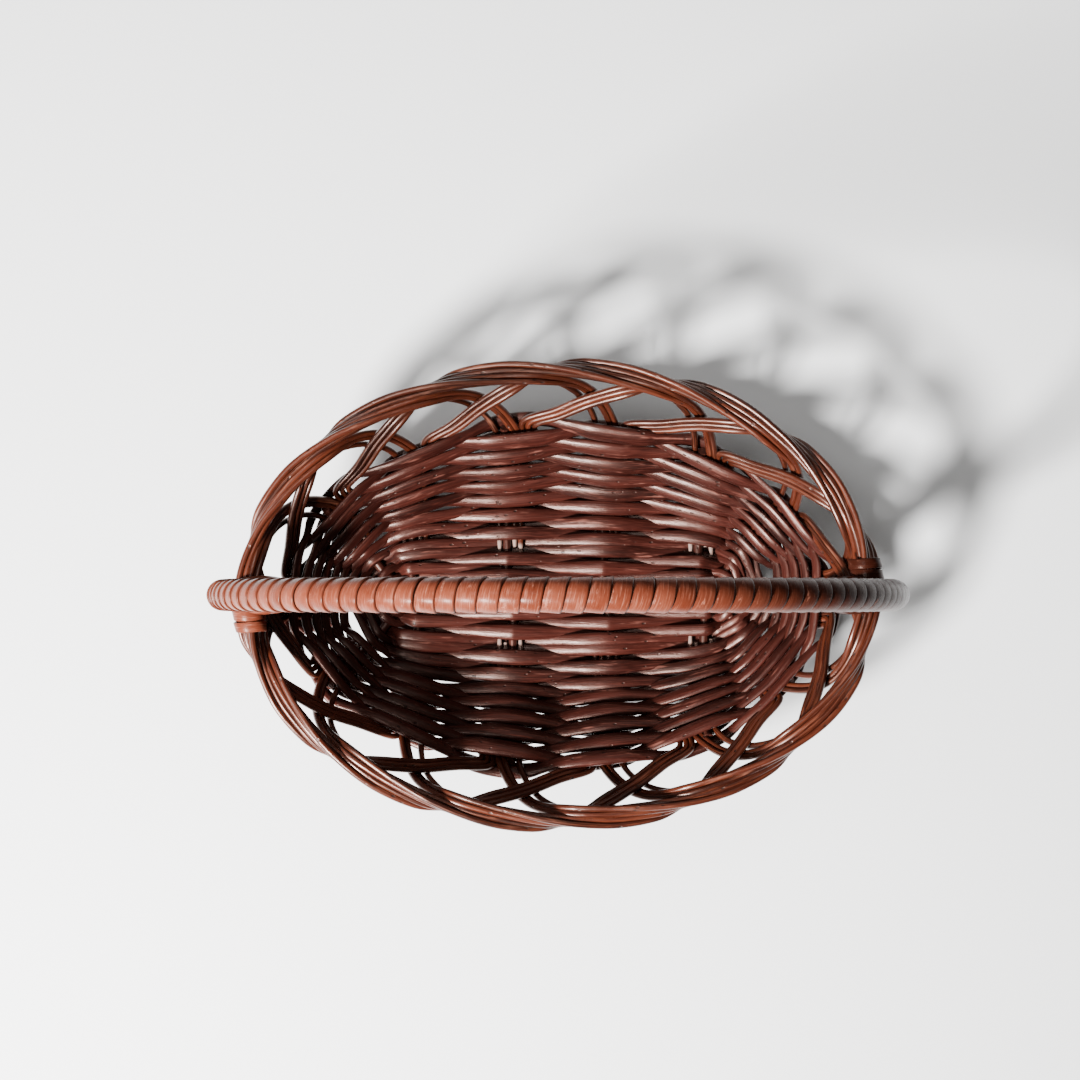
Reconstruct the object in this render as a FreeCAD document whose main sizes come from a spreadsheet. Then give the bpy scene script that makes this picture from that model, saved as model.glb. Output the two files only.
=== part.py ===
import FreeCAD, Part
import math
import os
import Sketcher
from FreeCAD import Placement, Rotation, Vector

# Woven fruit basket with a fixed hoop handle over its long axis.
# Millimetres, +Z up, +X along the basket's length. The origin is under the middle of the foot.
# Everything repeats after half a turn about Z, so the basket is centred on the origin.

doc = FreeCAD.newDocument("fruit_basket")

DRIVING_SIZES = [
    ("rim_length", 300), ("rim_width", 220), ("rim_height", 78),
    ("wall_length", 260), ("wall_width", 166), ("wall_height", 50),
    ("end_wall_lean", 22), ("side_wall_lean", 32), ("wall_bend_radius", 18),
    ("weave_plane_height", 12), ("spine_length", 152), ("short_rod_spacing", 48),
    ("base_rod_diameter", 4.5), ("side_stake_diameter", 2.7), ("weaver_diameter", 3.1),
    ("weaver_rows", 19), ("first_row_distance", 9.3), ("bundled_rows", 4),
    ("rod_clearance", 0.15), ("side_stake_entry", 20), ("end_stake_entry", 33),
    ("strand_pitch_radius", 3.7), ("tuck_depth", 8),
    ("handle_reach", 146), ("handle_spring_height", 110), ("handle_core_diameter", 10.4),
    ("handle_tail_diameter", 6.4), ("handle_tail_length", 24), ("handle_shoulder", 0.3),
    ("handle_rim_clearance", 1.4),
    ("wrap_thickness", 1.3), ("wrap_clearance", 0.05), ("wrap_start_over_wall", 10),
    ("lashing_width", 7), ("lashing_thickness", 1.2), ("lashing_spread", 12),
    ("lashing_lift", 4),
    ("nail_diameter", 1.6), ("nail_head_diameter", 3.4), ("nail_head_thickness", 0.8),
    ("nail_bite", 5), ("nail_drop", 2.3),
    ("foot_diameter", 6.4), ("foot_inset", 3),
]

sheet = doc.addObject("Spreadsheet::Sheet", "Sizes")
for line, (alias, value) in enumerate(DRIVING_SIZES, 1):
    sheet.set(f"A{line}", alias)
    sheet.set(f"B{line}", str(value))
    sheet.setAlias(f"B{line}", alias)
doc.recompute()


def size(alias):
    return float(getattr(sheet, alias))


UP = Vector(0, 0, 1)
POSTS = 14                      # stake groups round the basket, number 0 at the +X tip
HALF_ROUND = POSTS // 2
FAN_POSTS = (13, 0, 1, 6, 7, 8)     # the ends of the three long base rods
TIP_POSTS = (0, 7)                  # the groups that the handle's legs stand in
CORNER_SHARE = 0.45             # share of the shorter run that a corner's arc may take
LONGEST_MITRE = 0.7             # a corner's offset grows to no more than 1 over this
FAN_OPENING = 7                 # past the first row by this, each long base rod is on its own
STAKE_STAGGER = (0, 4, 2)       # the three side stakes of a group start this far apart
ROD_TOP_SPARE = 1.5             # base rods stop this far under the wall's top
STRAND_START = 1.5              # a strand's first point is this far past the wall's top
LEAN_FROM = 4                   # a strand starts to lean this far under the wall's top
SETTLING = 1.3                  # the three stakes lie close before the strand meets the rope
SWELL_DROP = 6                  # the handle's legs swell from this far under the rim's middle
SWELL_END = 0.95                # share of the leg's upper run that the swelling takes
TAPER_OVERLAP = 3               # the tail's taper ends this far inside the bow
rows = int(size("weaver_rows"))
rod_gap = size("rod_clearance")
base_rod = size("base_rod_diameter")
stake = size("side_stake_diameter")
weaver = size("weaver_diameter")
first_row = size("first_row_distance")
fan_start = first_row + FAN_OPENING
weave_z = size("weave_plane_height")
wall_rise = size("wall_height") - weave_z


# ---- paths: straight runs joined by tangent arcs ----

def corner_arc(before, corner, after, radius=None):
    """Ends and middle of the arc that rounds a corner; None where the route is straight."""
    back, ahead = before - corner, after - corner
    shorter = min(back.Length, ahead.Length)
    half_turn = (math.pi - back.getAngle(ahead)) / 2
    if half_turn < 0.002:
        return None
    reach = CORNER_SHARE * shorter
    if radius:
        reach = min(reach, radius * math.tan(half_turn))
    radius = reach / math.tan(half_turn)
    back.normalize()
    ahead.normalize()
    bisector = (back + ahead).normalize()
    middle = corner + bisector * (radius / math.cos(half_turn) - radius)
    return corner + back * reach, middle, corner + ahead * reach


def rounded_path(points, radii=None):
    """Open wire through the points; radii names the corners whose arc has its own radius."""
    radii = radii or {}
    edges, start = [], points[0]
    for place in range(1, len(points) - 1):
        arc = corner_arc(*points[place - 1:place + 2], radii.get(place))
        if arc:
            edges.append(Part.LineSegment(start, arc[0]).toShape())
            edges.append(Part.Arc(*arc).toShape())
            start = arc[2]
    edges.append(Part.LineSegment(start, points[-1]).toShape())
    return Part.Wire(edges)


def round_loop(points):
    """Closed wire: every corner is rounded, the last one too."""
    count = len(points)
    arcs = [corner_arc(points[place - 1], points[place], points[(place + 1) % count])
            for place in range(count)]
    edges = []
    for place, arc in enumerate(arcs):
        edges.append(Part.Arc(*arc).toShape())
        edges.append(Part.LineSegment(arc[2], arcs[(place + 1) % count][0]).toShape())
    return Part.Wire(edges)


# ---- the ovals and the posts that the weave goes round ----

oval_tables = {}


def oval_angle(half_long, half_short, share):
    """Ellipse angle at a share of the way round from the +X tip, measured along the curve."""
    steps = 720
    key = (half_long, half_short)
    if key not in oval_tables:
        table = [0.0]
        for step in range(steps):
            angle = (step + 0.5) * 2 * math.pi / steps
            table.append(table[-1] + math.hypot(half_long * math.sin(angle),
                                                half_short * math.cos(angle)))
        oval_tables[key] = [length / table[-1] for length in table]
    table = oval_tables[key]
    turns, share = divmod(share, 1.0)
    low, high = 0, steps
    while high - low > 1:
        middle = (low + high) // 2
        if table[middle] <= share:
            low = middle
        else:
            high = middle
    part = (share - table[low]) / (table[high] - table[low])
    return 2 * math.pi * (turns + (low + part) / steps)


def oval_point(half_long, half_short, share):
    angle = oval_angle(half_long, half_short, share)
    return Vector(half_long * math.cos(angle), half_short * math.sin(angle), 0)


def oval_normal(half_long, half_short, share):
    angle = oval_angle(half_long, half_short, share)
    return Vector(math.cos(angle) / half_long, math.sin(angle) / half_short, 0).normalize()


wall_oval = (size("wall_length") / 2, size("wall_width") / 2)
strand_radius = stake / math.sqrt(3) + stake / 2        # three stakes laid as a triangle
rope_radius = size("strand_pitch_radius") + strand_radius
rim_oval = (size("rim_length") / 2 - rope_radius, size("rim_width") / 2 - rope_radius)


class Post:
    """One stake group: straight out over the base, round the bend, straight up the wall."""

    def __init__(self, number):
        self.number = number % POSTS
        share = self.number / POSTS
        self.top = oval_point(*wall_oval, share)
        self.wall_side = UP.cross(oval_normal(*wall_oval, share))
        side = 1 if self.number < HALF_ROUND else -1
        if self.number in FAN_POSTS:
            self.start = Vector(math.copysign(size("spine_length") / 2, self.top.x), 0, 0)
        else:
            rank = self.number if side > 0 else POSTS - self.number
            self.start = Vector((HALF_ROUND / 2 - rank) * size("short_rod_spacing"), 0, 0)
        reach = self.top - self.start
        self.length_out = reach.Length
        self.heading = Vector(reach).normalize()
        lean_share = self.heading.y ** 2
        self.lean = (size("end_wall_lean") * (1 - lean_share) + size("side_wall_lean") * lean_share)
        self.slope = math.atan2(wall_rise, self.lean)
        self.bend_radius = size("wall_bend_radius")
        self.tangent = self.bend_radius * math.tan(self.slope / 2)
        self.corner = self.length_out - self.lean
        self.flat = self.corner - self.tangent
        self.bend = self.bend_radius * self.slope
        self.total = self.flat + self.bend + math.hypot(self.lean, wall_rise) - self.tangent

    def frame(self, travel):
        """Point, heading, sideways and inward directions after a travel along the post."""
        if travel <= self.flat:
            out, rise, angle = travel, 0.0, 0.0
        elif travel <= self.flat + self.bend:
            angle = (travel - self.flat) / self.bend_radius
            out = self.flat + self.bend_radius * math.sin(angle)
            rise = self.bend_radius * (1 - math.cos(angle))
        else:
            angle = self.slope
            rest = travel - self.total
            out = self.length_out + rest * math.cos(angle)
            rise = wall_rise + rest * math.sin(angle)
        point = self.start + self.heading * out + UP * (weave_z + rise)
        ahead = self.heading * math.cos(angle) + UP * math.sin(angle)
        share = min(max((travel - self.flat) / (self.total - self.flat), 0), 1)
        sideways = UP.cross(self.heading) * (1 - share) + self.wall_side * share
        sideways.normalize()
        inward = ahead.cross(sideways).normalize()
        if inward.dot(UP - self.heading) < 0:
            inward = -inward
        return point, ahead, sideways, inward

    def at(self, travel, sideways=0.0, inward=0.0):
        point, ahead, across, normal = self.frame(travel)
        return point + across * sideways + normal * inward

    def bend_corner(self, sideways=0.0, start=0.0):
        """Where a straight run from the start and the wall's straight run would meet."""
        begin, end = max(start, self.flat), self.flat + self.bend
        half = (end - begin) / self.bend_radius / 2
        depth = self.bend_radius * (1 / math.cos(half) - 1)
        return self.at((begin + end) / 2, sideways, -depth)

    def progress(self, travel):
        """Mean of the travel and of its level reach, which spaces the rows wider up the wall."""
        level = (self.frame(travel)[0] - self.start).dot(self.heading)
        return (travel + level) / 2


posts = [Post(number) for number in range(POSTS)]


# ---- places of the rods inside one group, measured sideways from the group's middle ----

def rod_places(number):
    """Sideways places of the base rod and of the three side stakes of a group."""
    step = stake + rod_gap
    beside = base_rod / 2 + rod_gap + stake / 2
    if number in TIP_POSTS:     # the handle's leg takes the middle
        tail = size("handle_tail_diameter") / 2 + rod_gap
        first = tail + stake / 2
        return -(tail + base_rod / 2), [first, first + step, first + 2 * step]
    middle = step / 2
    return middle, [middle - beside - step, middle - beside, middle + beside]


def stake_entry(number):
    """Where the side stakes begin, measured along the post."""
    return size("end_stake_entry") if number in FAN_POSTS else size("side_stake_entry")


def group_span(number, travel):
    """How far a weaver runs beside the group, on its clockwise and its other side."""
    number %= POSTS
    base_place, stakes = rod_places(number)
    if travel < stake_entry(number):
        if number in FAN_POSTS and travel < fan_start:
            base_place = 0.0
        return base_place - base_rod / 2, base_place + base_rod / 2
    low = min(stakes[0] - stake / 2, base_place - base_rod / 2)
    high = max(stakes[2] + stake / 2, base_place + base_rod / 2)
    if travel > posts[number].total - size("tuck_depth"):
        low -= 3 * (stake + rod_gap)
    return low, high


def row_travel(post, row):
    """A row's distance along a post, from the spine outwards and up the wall."""
    last = post.total - weaver / 2
    near, far = post.progress(first_row), post.progress(last)
    wanted = near + (far - near) * row / (rows - 1)
    low, high = first_row, last
    while high - low > 0.001:
        middle = (low + high) / 2
        low, high = (middle, high) if post.progress(middle) < wanted else (low, middle)
    return low


def leg_depth_travel(post):
    return post.total - size("handle_tail_length")


def weaver_side(number, row):
    """+1 where the row passes inside the group and -1 where it passes behind it."""
    if row < size("bundled_rows"):
        counted = [place for place in range(POSTS) if place not in (13, 1, 6, 8)]
        stand_in = {13: 0, 1: 0, 6: 7, 8: 7}.get(number, number)
        return 1 if (counted.index(stand_in) + row) % 2 else -1
    return 1 if (number + row) % 2 else -1


def weaver_points(row):
    """Two points beside each group: the rod starts and stops behind one of them."""
    centres, halves = [], []
    for number, post in enumerate(posts):
        travel = row_travel(post, row)
        low, high = group_span(number, travel)
        leg = number in TIP_POSTS and travel > leg_depth_travel(post)
        thick = size("handle_tail_diameter") if leg else base_rod
        offset = weaver_side(number, row) * (thick / 2 + weaver / 2 + rod_gap)
        centres.append(post.at(travel, (low + high) / 2, offset))
        halves.append((high - low) / 2)
    first = next(number % POSTS for number in range(row * 3, row * 3 + POSTS)
                 if weaver_side(number % POSTS, row) < 0 and number % POSTS not in TIP_POSTS)
    points = []
    for number in [(first + step) % POSTS for step in range(POSTS)]:
        before, after = centres[number - 1], centres[(number + 1) % POSTS]
        along = (after - before).normalize() * halves[number]
        if row < size("bundled_rows") and number in TIP_POSTS:
            points.append(centres[number])
        else:
            points += [centres[number] - along, centres[number] + along]
    closing = points[0]
    points[0] = centres[first] + (points[1] - centres[first]).normalize() * rod_gap
    end = centres[first] + (closing - centres[first]).normalize() * rod_gap
    return points + [closing, end]


# ---- the lattice between the wall's top and the rim's rope ----

def lattice_point(share, rise, outward=0.0):
    """Point between the wall's top (rise 0) and the rope's middle (rise 1)."""
    low = oval_point(*wall_oval, share) + UP * size("wall_height")
    high = oval_point(*rim_oval, share) + UP * size("rim_height")
    return low + (high - low) * rise + lattice_outside(share) * outward


def lattice_outside(share):
    """Outward direction square to the lattice."""
    normal = oval_normal(*rim_oval, share)
    climb = (oval_point(*rim_oval, share) - oval_point(*wall_oval, share)
             + UP * (size("rim_height") - size("wall_height"))).normalize()
    return (normal - climb * normal.dot(climb)).normalize()


def rope_point(share, angle, radius):
    """Point at an angle round the rope: 0 outside, 90 on top, 180 inside, 270 below."""
    centre = oval_point(*rim_oval, share) + UP * size("rim_height")
    return centre + rope_radial(share, angle) * radius


def rope_radial(share, angle):
    turn = math.radians(angle)
    return oval_normal(*rim_oval, share) * math.cos(turn) + UP * math.sin(turn)


# A strand's middle line after it leaves its own group. Steps are counted in group spacings,
# counter-clockwise. Rising and falling stretches give the rise over the wall's top and the
# distance outside the lattice; the rope gives the angle round its middle and the radius.
RISING = ((0.13, 0.30, 1.9), (0.33, 0.68, 1.2))
ON_ROPE = ((0.62, 160, 1.0), (1.00, 128, 1.0), (1.45, 84, 1.0), (1.90, 38, 1.0),
           (2.28, -5, 1.0), (2.50, -50, 1.0), (2.69, -100, 1.2))
FALLING = ((2.92, 0.78, -1.9), (3.22, 0.50, -1.9), (3.50, 0.22, -1.5))
RISING_ORDER = (-1, 0, 1)       # places of the three stakes across the strand
FALLING_ORDER = (0, -1, 1)
TRIANGLE = ((-0.5, -0.866), (1.0, 0.0), (-0.5, 0.866))      # along and square to the radius


def strand_middle(number):
    """Middle line of a strand from the wall's top to its tucked end, with each point's kind."""
    post, next_post = posts[number], posts[(number + 4) % POSTS]
    tuck = group_span(number + 4, next_post.total)[0] + 1.5 * (stake + rod_gap)
    radius = size("strand_pitch_radius")
    middle = [(post.at(post.total + STRAND_START), "wall", 0, 0)]
    for steps, rise, out in RISING:
        share = (number + steps) / POSTS
        middle.append((lattice_point(share, rise, out), "rising", share, rise))
    for steps, angle, far in ON_ROPE:
        share = (number + steps) / POSTS
        middle.append((rope_point(share, angle, radius * far), "rope", share, angle))
    for steps, rise, out in FALLING:
        share = (number + steps) / POSTS
        middle.append((lattice_point(share, rise, out), "falling", share, rise))
    middle.append((next_post.at(next_post.total, tuck), "tuck", 0, 0))
    middle.append((next_post.at(next_post.total - size("tuck_depth"), tuck), "tuck", 0, 0))
    return middle


def facing(direction, way):
    return direction if direction.dot(way) > 0 else direction * -1


def member_offset(number, member, kind, share, detail, ahead):
    """Offset of one stake from its strand's middle line, square to the way ahead."""
    step = stake + rod_gap
    post = posts[number] if kind == "wall" else posts[(number + 4) % POSTS]
    if kind == "rope":
        radial = rope_radial(share, detail)
        radial = (radial - ahead * radial.dot(ahead)).normalize()
        around = facing(ahead.cross(radial).normalize(), rope_radial(share, detail + 90))
        along, square = TRIANGLE[member]
        return (radial * along + around * square) * (step / math.sqrt(3))
    if kind in ("wall", "tuck"):
        _, _, sideways, inward = post.frame(post.total)
        across = facing(inward.cross(ahead).normalize(), sideways)
    else:
        way = posts[number].wall_side if kind == "rising" else UP
        across = facing(lattice_outside(share).cross(ahead).normalize(), way)
    if kind in ("falling", "tuck"):
        return across * FALLING_ORDER[member] * step
    settled = min(1, detail * SETTLING)
    place = rod_places(number)[1][member]
    return across * (place * (1 - settled) + RISING_ORDER[member] * step * settled)


def strand_points(number, member):
    """Route of one of a group's three side stakes, from the base to its tucked end."""
    post = posts[number]
    place = rod_places(number)[1][member]
    entry = stake_entry(number) + STAKE_STAGGER[member]
    points = [post.at(entry, place)]
    if entry < post.flat + post.bend - 2:
        points.append(post.bend_corner(place, entry))
    middle = strand_middle(number)
    spots = [post.at(post.total - LEAN_FROM)] + [spot for spot, _, _, _ in middle]
    for order, (spot, kind, share, detail) in enumerate(middle, 1):
        into = (spot - spots[order - 1]).normalize()
        out_of = (spots[order + 1] - spot).normalize() if order < len(middle) else into
        ahead = (into + out_of).normalize()
        mitre = 1 / max(ahead.dot(into), LONGEST_MITRE)
        points.append(spot + member_offset(number, member, kind, share, detail, ahead) * mitre)
    return points


# ---- document objects ----

def add_path(name, wire):
    path = doc.addObject("Part::Feature", name + "_path")
    path.Shape = wire
    return path


def add_rod(name, wire, diameter):
    """Round rod swept along a path, with its diameter read from the sheet by name or formula."""
    path = add_path(name, wire)
    section = doc.addObject("Part::Circle", name + "_section")
    section.setExpression("Radius", f"({diameter}) / 2")
    first = wire.OrderedEdges[0]
    start, ahead = first.firstVertex().Point, first.tangentAt(first.FirstParameter)
    section.Placement = Placement(start, Rotation(UP, ahead))
    rod = doc.addObject("Part::Sweep", name)
    rod.Sections = [section]
    rod.Spine = (path, [f"Edge{place + 1}" for place in range(len(wire.Edges))])
    rod.Solid = True
    rod.Frenet = False
    return rod


def cell(alias):
    return f"{sheet.Name}.{alias}"


def group(name, members):
    """Several solids of one node."""
    compound = doc.addObject("Part::Compound", name)
    compound.Links = members
    return compound


nodes = {}


def keep(label, item):
    item.Label = label
    nodes[label] = item


def add_weaver_rows():
    for row in range(rows):
        label = f"weaver_row_{row + 1:02d}"
        keep(label, add_rod(label, rounded_path(weaver_points(row)), cell("weaver_diameter")))


def wall_part(post, sideways):
    """Route of a base rod up a wall: the bend's corner, then the wall's top."""
    return [post.bend_corner(sideways), post.at(post.total - ROD_TOP_SPARE, sideways)]


def add_short_base_rods():
    for order, number in enumerate((5, 4, 3, 2), 1):
        upper, lower = posts[number], posts[POSTS - number]
        up_place, low_place = rod_places(upper.number)[0], rod_places(lower.number)[0]
        points = wall_part(upper, up_place)[::-1]
        points += [upper.at(first_row, up_place), lower.at(first_row, low_place)]
        points += wall_part(lower, low_place)
        bends = {1: posts[number].bend_radius, len(points) - 2: posts[number].bend_radius}
        label = f"base_rod_short_{order}"
        keep(label, add_rod(label, rounded_path(points, bends), cell("base_rod_diameter")))


def add_long_base_rods():
    low_z = weave_z - base_rod - rod_gap
    spread = base_rod + rod_gap
    outer_rod = (HALF_ROUND / 2 - 2) * size("short_rod_spacing")
    for order, (right, left) in enumerate(((1, 6), (0, 7), (13, 8)), 1):
        points = []
        for number in (right, left):
            post = posts[number]
            place = rod_places(number)[0]
            side = math.copysign(1, post.top.x)
            across = (0 if number in TIP_POSTS else math.copysign(spread, post.top.y))
            half = wall_part(post, place)[::-1]
            half.append(post.at(fan_start, place))
            half.append(post.at(first_row - 1, 0))
            half.append(Vector(side * (outer_rod + base_rod / 2), across, low_z))
            points = half if not points else points + half[::-1]
        bends = {1: posts[right].bend_radius, len(points) - 2: posts[left].bend_radius}
        label = f"base_rod_long_{order}"
        keep(label, add_rod(label, rounded_path(points, bends), cell("base_rod_diameter")))


def add_side_stakes():
    for number in range(POSTS):
        label = f"side_stakes_{number + 1:02d}"
        members = []
        for member in range(3):
            wire = rounded_path(strand_points(number, member))
            members.append(add_rod(f"{label}_{member + 1}", wire, cell("side_stake_diameter")))
        keep(label, group(label, members))


# ---- the handle: a bent bow, its cane wrap, lashings and nails ----

sleeve_radius = size("handle_core_diameter") / 2 + size("wrap_clearance") + size("wrap_thickness")
leg_x = rim_oval[0] - rope_radius - size("handle_rim_clearance") - sleeve_radius


def smooth_step(share):
    return share * share * (3 - 2 * share)


def leg_spot(height):
    """Middle of the +X leg at a height: upright inside the rim, then swelling out to the arch."""
    spring_z, swell_z = size("handle_spring_height"), size("rim_height") - SWELL_DROP
    share = min(max((height - swell_z) / (spring_z - swell_z) / SWELL_END, 0), 1)
    return Vector(leg_x + (size("handle_reach") - leg_x) * smooth_step(share), 0, height)


def leg_points(low_z):
    """One leg's middle line at +X, up to the arch."""
    spring_z, swell_z = size("handle_spring_height"), size("rim_height") - SWELL_DROP
    shares = (0, 0.25, 0.5, 0.75, SWELL_END, 1)
    heights = [swell_z + (spring_z - swell_z) * share for share in shares]
    return [Vector(leg_x, 0, low_z)] + [leg_spot(height) for height in heights]


def other_side(points):
    return [Vector(-point.x, point.y, point.z) for point in points]


def hoop_wire(leg):
    """One leg up, the arch as one arc, the other leg down."""
    reach, spring_z = size("handle_reach"), size("handle_spring_height")
    arch = Part.Arc(leg[-1], Vector(0, 0, spring_z + reach), other_side(leg)[-1])
    edges = rounded_path(leg).Edges + [arch.toShape()]
    return Part.Wire(edges + rounded_path(other_side(leg)[::-1]).Edges)


def round_bar(name, diameter, ends, end_diameter=None):
    """Cylinder, or cone where the far end has its own diameter, between two points."""
    start, finish = ends
    bar = doc.addObject("Part::Cone" if end_diameter else "Part::Cylinder", name)
    bar.setExpression("Radius1" if end_diameter else "Radius", f"({diameter}) / 2")
    if end_diameter:
        bar.setExpression("Radius2", f"({end_diameter}) / 2")
    bar.Height = (finish - start).Length
    bar.Placement = Placement(start, Rotation(UP, finish - start))
    return bar


def cut(name, base, tool):
    result = doc.addObject("Part::Cut", name)
    result.Base = base
    result.Tool = tool
    return result


def nail_ends(side):
    """Underside of the head, against the rim's outer face, and the point inside the core."""
    height = size("rim_height") - size("nail_drop")
    outside = rim_oval[0] + rope_radius
    inside = leg_x + size("handle_core_diameter") / 2 - size("nail_bite")
    return Vector(side * outside, 0, height), Vector(side * inside, 0, height)


def nail_holes(name):
    holes = [round_bar(f"{name}_hole_{side}", cell("nail_diameter"), nail_ends(side))
             for side in (1, -1)]
    return group(f"{name}_holes", holes)


def add_handle():
    """The bow: full thickness over the weave, whittled to a thin tail in each end wall."""
    post = posts[0]
    foot = Vector(leg_x, 0, size("wall_height") + size("wrap_start_over_wall"))
    pieces = [add_rod("handle_arch", hoop_wire(leg_points(foot.z)), cell("handle_core_diameter"))]
    tail, wall_top = post.at(leg_depth_travel(post)), post.at(post.total)
    inside_arch = foot + UP * TAPER_OVERLAP
    shoulder = cell("handle_shoulder")
    for name, turn in (("right", list), ("left", other_side)):
        low, knee, high = turn([tail, wall_top, inside_arch])
        pieces.append(round_bar(f"tail_{name}", cell("handle_tail_diameter"), (low, knee)))
        pieces.append(round_bar(f"taper_{name}", cell("handle_tail_diameter"), (knee, high),
                                f"{cell('handle_core_diameter')} - 2 * {shoulder}"))
        ball = doc.addObject("Part::Sphere", f"knee_{name}")
        ball.setExpression("Radius", f"{cell('handle_tail_diameter')} / 2 + {shoulder} / 2")
        ball.Placement = Placement(knee, Rotation())
        pieces.append(ball)
    bow = doc.addObject("Part::MultiFuse", "handle_bow")
    bow.Shapes = pieces
    keep("handle_core", cut("handle_core", bow, nail_holes("core")))


def add_wrap():
    """The wound cane as one sleeve over the bow, from just over the wall round to the other."""
    wire = hoop_wire(leg_points(size("wall_height") + size("wrap_start_over_wall")))
    inner = f"{cell('handle_core_diameter')} + 2 * {cell('wrap_clearance')}"
    outer = f"{inner} + 2 * {cell('wrap_thickness')}"
    tube = cut("wrap_tube", add_rod("wrap_outside", wire, outer),
               add_rod("wrap_inside", wire, inner))
    keep("handle_wrap", cut("handle_wrap", tube, nail_holes("wrap")))


def collar(name, ends, bore):
    """Short tube of lashing cane round a bar of the given diameter."""
    inner = f"{bore} + 2 * {cell('wrap_clearance')}"
    outer = f"{inner} + 2 * {cell('lashing_thickness')}"
    return cut(name, round_bar(name + "_outside", outer, ends),
               round_bar(name + "_inside", inner, ends))


def add_lashings():
    """At each leg the cane turns round the wrapped leg and round the rim beside it."""
    half = size("lashing_width") / 2
    height = size("rim_height")
    leg = [leg_spot(height + size("lashing_lift") + end) for end in (-half, half)]
    oval_length = 2 * math.pi * math.sqrt((rim_oval[0] ** 2 + rim_oval[1] ** 2) / 2)
    for label, base_share, turn in (("handle_lashing_right", 0.0, list),
                                    ("handle_lashing_left", 0.5, other_side)):
        share = base_share + size("lashing_spread") / oval_length
        middle = oval_point(*rim_oval, share) + UP * height
        along = UP.cross(oval_normal(*rim_oval, share)) * half
        rim = [middle - along, middle + along]
        keep(label, group(label, [collar(f"{label}_leg", turn(leg), str(2 * sleeve_radius)),
                                  collar(f"{label}_rim", rim, str(2 * rope_radius))]))


def nail_body(name, side):
    """A turned nail: its profile is drawn in the XZ plane and revolved about the shank."""
    head_under, point = nail_ends(side)
    body = doc.addObject("PartDesign::Body", name)
    plane = next(item for item in body.Origin.OriginFeatures if item.Role == "XZ_Plane")
    sketch = body.newObject("Sketcher::SketchObject", name + "_profile")
    sketch.AttachmentSupport = (plane, [""])
    sketch.MapMode = "FlatFace"
    shank, head = size("nail_diameter") / 2, size("nail_head_diameter") / 2
    thick, length = size("nail_head_thickness"), (point - head_under).Length
    corners = [(0, thick), (head, thick), (head, 0), (shank, 0), (shank, -length), (0, -length)]
    for place, corner in enumerate(corners):
        following = corners[(place + 1) % len(corners)]
        sketch.addGeometry(Part.LineSegment(Vector(*corner, 0), Vector(*following, 0)))
    for place in range(len(corners)):
        following = (place + 1) % len(corners)
        sketch.addConstraint(Sketcher.Constraint("Coincident", place, 2, following, 1))
        direction = "Vertical" if place % 2 else "Horizontal"
        sketch.addConstraint(Sketcher.Constraint(direction, place))
    sketch.addConstraint(Sketcher.Constraint("PointOnObject", 5, 1, -2))
    sketch.addConstraint(Sketcher.Constraint("PointOnObject", 2, 2, -1))
    for label, kind, ends, value, formula in (
            ("head_radius", "DistanceX", (0, 1, 0, 2), head, "nail_head_diameter / 2"),
            ("head_thickness", "DistanceY", (1, 2, 1, 1), thick, "nail_head_thickness"),
            ("shank_radius", "DistanceX", (4, 2, 4, 1), shank, "nail_diameter / 2"),
            ("shank_length", "DistanceY", (3, 2, 3, 1), length, None)):
        where = sketch.addConstraint(Sketcher.Constraint(kind, *ends, value))
        sketch.renameConstraint(where, label)
        if formula:
            sketch.setExpression(f"Constraints.{label}", f"{sheet.Name}.{formula}")
    turned = body.newObject("PartDesign::Revolution", name + "_turned")
    turned.Profile = sketch
    turned.ReferenceAxis = (sketch, ["V_Axis"])
    turned.Angle = 360
    body.Placement = Placement(head_under, Rotation(UP, head_under - point))
    return body


def add_nails():
    """One nail through the rim, the wrap and the bow at each end."""
    keep("handle_nails", group("handle_nails", [nail_body("nail_right", 1),
                                                nail_body("nail_left", -1)]))


# ---- the foot ----

def add_foot():
    """A rod ring under the edge of the base, planed flat where it stands."""
    radius = size("foot_diameter") / 2
    underside = weave_z - base_rod / 2 - rod_gap - weaver
    middle_z = underside - rod_gap - radius
    points = []
    for post in posts:
        spot = post.at(post.flat - size("foot_inset"))
        points.append(Vector(spot.x, spot.y, middle_z))
    ring = add_rod("foot_rod", round_loop(points), cell("foot_diameter"))
    floor = doc.addObject("Part::Box", "below_the_floor")
    floor.setExpression("Length", cell("rim_length"))
    floor.setExpression("Width", cell("rim_width"))
    floor.setExpression("Height", cell("foot_diameter"))
    floor.Placement = Placement(Vector(-size("rim_length") / 2, -size("rim_width") / 2,
                                       -size("foot_diameter")), Rotation())
    keep("foot_ring", cut("foot_ring", ring, floor))


add_short_base_rods()
add_long_base_rods()
add_weaver_rows()
add_side_stakes()
add_handle()
add_wrap()
add_lashings()
add_nails()
add_foot()
doc.recompute()

broken = [item.Name for item in doc.Objects
          if any(word in item.State for word in ("Invalid", "Error"))]
if broken:
    raise RuntimeError("these objects did not build: " + ", ".join(broken))
for label, item in nodes.items():
    shape = item.Shape
    if shape.isNull() or not shape.isValid() or not shape.Solids:
        raise RuntimeError(f"{label} has no valid solid")
os.makedirs("parts", exist_ok=True)
for label, item in nodes.items():
    item.Shape.exportStep(f"parts/{label}.step")
print(f"{len(nodes)} nodes written")
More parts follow.
